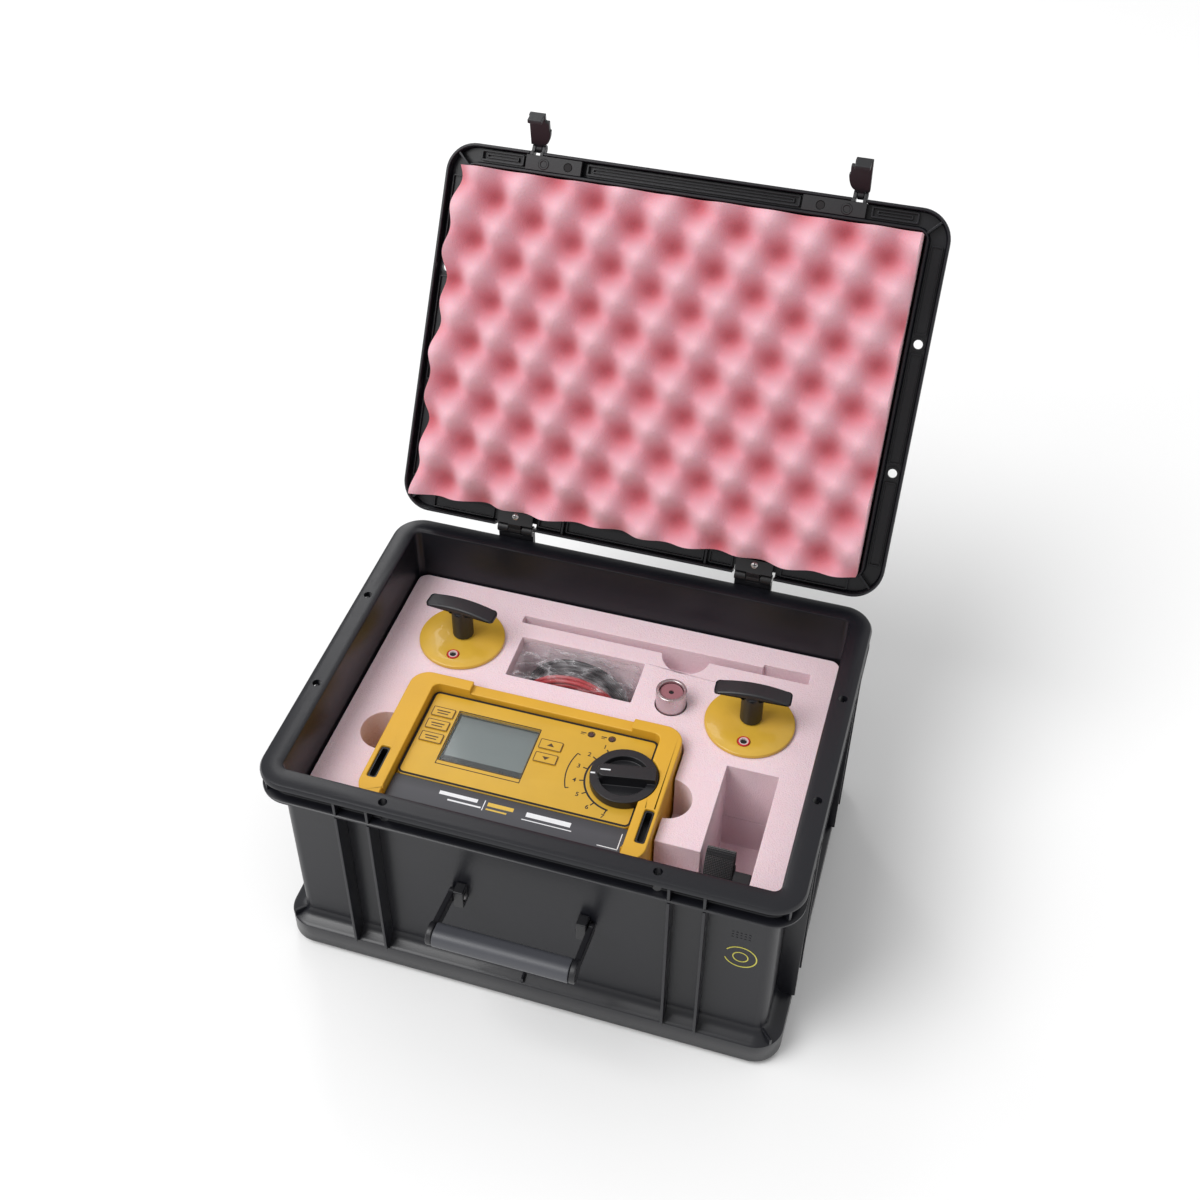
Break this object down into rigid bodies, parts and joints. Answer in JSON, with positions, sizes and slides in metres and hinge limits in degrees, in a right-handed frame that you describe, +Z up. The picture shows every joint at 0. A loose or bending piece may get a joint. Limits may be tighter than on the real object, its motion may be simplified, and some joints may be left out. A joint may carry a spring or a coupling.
{
  "type": "insulation resistance tester",
  "caption": "Insulation resistance tester in a hinged black carrying case with cut foam, weighted floor electrodes, hand probe, test leads and neck strap.",
  "frame": {"origin": "middle of the case's base, on the surface that it stands on", "axes": "+Z up, +X to the right across the case, -Y towards the user, who faces the case's handle; the lid is open at rest"},
  "size_m": [0.4, 0.5082, 0.498],
  "materials": {
    "case_black": "fine satin moulded grain",
    "fitting_black": "satin",
    "handle_black": "satin",
    "pad_foam": "closed-cell cut foam",
    "egg_foam": "open-cell convoluted foam",
    "steel": "turned",
    "holster_yellow": "satin",
    "panel_yellow": "satin",
    "label_grey": "satin foil",
    "window": "clear",
    "display": "grey-green liquid crystal",
    "led": "clear tinted",
    "circuit_board": "solder mask",
    "battery": "satin",
    "dark_plastic": "satin",
    "white_plastic": "satin",
    "cap_yellow": "semi-gloss",
    "pad_rubber": "matt conductive rubber",
    "jack": "gloss",
    "bag_film": "clear film",
    "lead_black": "satin",
    "lead_red": "satin",
    "webbing": "ribbed webbing"
  },
  "bodies": {
    "case": {"case_tub": "case_black", "foam_top": "pad_foam", "foam_bottom": "pad_foam", "hinge_base_left": "fitting_black", "hinge_base_right": "fitting_black", "hinge_pin_left": "steel", "hinge_pin_right": "steel", "handle_bracket_left": "fitting_black", "handle_bracket_right": "fitting_black"},
    "lid": {"lid_shell": "case_black", "lid_foam": "egg_foam", "hinge_leaf_left": "fitting_black", "hinge_leaf_right": "fitting_black", "latch_base_left": "fitting_black", "latch_base_right": "fitting_black"},
    "latch_left": {"latch_lever_left": "fitting_black"},
    "latch_right": {"latch_lever_right": "fitting_black"},
    "handle": {"handle_bail": "handle_black", "handle_grip": "handle_black"},
    "tester": {"tester_bumper": "holster_yellow", "tester_housing": "panel_yellow", "face_panel": "panel_yellow", "label_strip": "label_grey", "display_window": "window", "display_module": "display", "led_pair": "led", "circuit_board": "circuit_board", "battery_pack": "battery", "battery_cover": "dark_plastic", "rotary_switch": "white_plastic", "socket_block": "dark_plastic"},
    "knob": {"knob_dial": "dark_plastic"},
    "key_mode": {"key_mode": "panel_yellow"},
    "key_range": {"key_range": "panel_yellow"},
    "key_store": {"key_store": "panel_yellow"},
    "key_up": {"key_up": "panel_yellow"},
    "key_down": {"key_down": "panel_yellow"},
    "electrode_left": {"electrode_cap_left": "cap_yellow", "electrode_weight_left": "steel", "electrode_pad_left": "pad_rubber", "electrode_handle_left": "dark_plastic", "electrode_jack_left": "jack"},
    "electrode_right": {"electrode_cap_right": "cap_yellow", "electrode_weight_right": "steel", "electrode_pad_right": "pad_rubber", "electrode_handle_right": "dark_plastic", "electrode_jack_right": "jack"},
    "probe": {"probe_sleeve": "steel", "probe_core": "white_plastic"},
    "lead_bag": {"lead_bag": "bag_film", "lead_coil_black": "lead_black", "lead_plug_black_1": "lead_black", "lead_plug_black_2": "lead_black", "lead_coil_red": "lead_red", "lead_plug_red_1": "lead_red", "lead_plug_red_2": "lead_red"},
    "strap": {"strap_webbing": "webbing", "strap_buckle": "dark_plastic"}
  },
  "joints": [
    {"name": "lid_hinge", "type": "hinge", "parent": "case", "child": "lid", "pos_m": [0, 0.1512, 0.2086], "axis": [-1, 0, 0], "range_deg": [-122.34, 0], "deforming": ["lid_foam"]},
    {"name": "latch_left_turn", "type": "hinge", "parent": "lid", "child": "latch_left", "pos_m": [-0.127, 0.31374, 0.4655], "axis": [-1, 0, 0], "range_deg": [-50, 40]},
    {"name": "latch_right_turn", "type": "hinge", "parent": "lid", "child": "latch_right", "pos_m": [0.128, 0.31374, 0.4655], "axis": [-1, 0, 0], "range_deg": [-50, 40]},
    {"name": "handle_swing", "type": "hinge", "parent": "case", "child": "handle", "pos_m": [0, -0.1415, 0.1115], "axis": [-1, 0, 0], "range_deg": [-90, 0]},
    {"name": "tester_lift", "type": "slide", "parent": "case", "child": "tester", "axis": [0, 0, 1], "range_m": [0, 0.18]},
    {"name": "knob_turn", "type": "hinge", "parent": "tester", "child": "knob", "pos_m": [0.048, -0.04, 0.16], "axis": [0, 0, 1], "range_deg": [-75, 75]},
    {"name": "key_mode_press", "type": "slide", "parent": "tester", "child": "key_mode", "axis": [0, 0, -1], "range_m": [0, 0.0008], "stiffness_N_per_m": 1200, "springref_m": -0.0006},
    {"name": "key_range_press", "type": "slide", "parent": "tester", "child": "key_range", "axis": [0, 0, -1], "range_m": [0, 0.0008], "stiffness_N_per_m": 1200, "springref_m": -0.0006},
    {"name": "key_store_press", "type": "slide", "parent": "tester", "child": "key_store", "axis": [0, 0, -1], "range_m": [0, 0.0008], "stiffness_N_per_m": 1200, "springref_m": -0.0006},
    {"name": "key_up_press", "type": "slide", "parent": "tester", "child": "key_up", "axis": [0, 0, -1], "range_m": [0, 0.0008], "stiffness_N_per_m": 1200, "springref_m": -0.0006},
    {"name": "key_down_press", "type": "slide", "parent": "tester", "child": "key_down", "axis": [0, 0, -1], "range_m": [0, 0.0008], "stiffness_N_per_m": 1200, "springref_m": -0.0006},
    {"name": "electrode_left_lift", "type": "slide", "parent": "case", "child": "electrode_left", "axis": [0, 0, 1], "range_m": [0, 0.14]},
    {"name": "electrode_right_lift", "type": "slide", "parent": "case", "child": "electrode_right", "axis": [0, 0, 1], "range_m": [0, 0.14]},
    {"name": "probe_lift", "type": "slide", "parent": "case", "child": "probe", "axis": [0, 0, 1], "range_m": [0, 0.13]},
    {"name": "lead_bag_lift", "type": "slide", "parent": "case", "child": "lead_bag", "axis": [0, 0, 1], "range_m": [0, 0.15]},
    {"name": "strap_lift", "type": "slide", "parent": "case", "child": "strap", "axis": [0, 0, 1], "range_m": [0, 0.15]}
  ]
}
